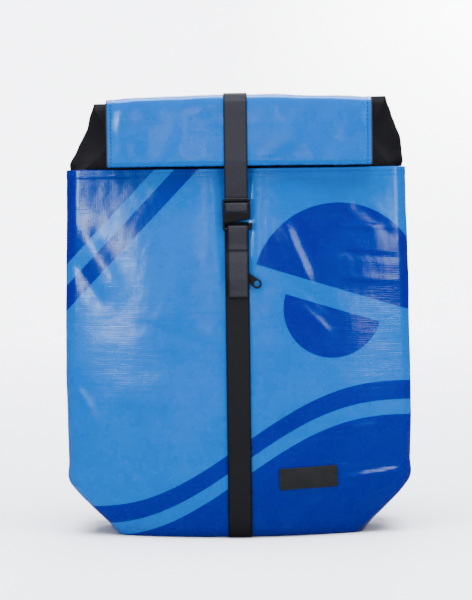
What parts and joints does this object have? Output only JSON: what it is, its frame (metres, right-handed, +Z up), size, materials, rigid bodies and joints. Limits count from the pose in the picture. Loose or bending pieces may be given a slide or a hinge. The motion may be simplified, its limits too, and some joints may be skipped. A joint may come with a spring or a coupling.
{
  "type": "backpack",
  "caption": "Roll-top messenger backpack in coated tarpaulin, with a rolled flap, a hook buckle on a centre strap, cut lower corners and two padded shoulder straps.",
  "frame": {"origin": "centre of the flat base, on the surface that the bag stands on", "axes": "+Z up, the front panel faces -Y, +X to the right as seen from the front"},
  "size_m": [0.37, 0.1766, 0.467],
  "materials": {
    "tarpaulin": "coated woven tarpaulin, satin gloss, two blues",
    "collar_cloth": "black coated cloth, matt",
    "webbing": "black woven webbing",
    "buckle": "black, satin",
    "lock_plastic": "black moulded plastic",
    "pull_plastic": "black moulded plastic",
    "zip_metal": "dark coated metal",
    "patch_rubber": "black rubber, bare",
    "pad_cloth": "black padded cloth"
  },
  "bodies": {
    "root": {"body_shell": "tarpaulin", "collar": "collar_cloth", "top_flap": "tarpaulin", "strap_upper": "webbing", "hook_buckle": "buckle", "hook_loop": "webbing", "strap_lower": "webbing", "zip_tape": "webbing", "zip_slider": "zip_metal", "zip_pull": "pull_plastic", "label_patch": "patch_rubber", "back_yoke": "webbing", "haul_loop": "webbing", "shoulder_strap_left": "pad_cloth", "ladder_lock_left": "lock_plastic", "lower_webbing_left": "webbing", "shoulder_strap_right": "pad_cloth", "ladder_lock_right": "lock_plastic", "lower_webbing_right": "webbing"}
  },
  "joints": []
}
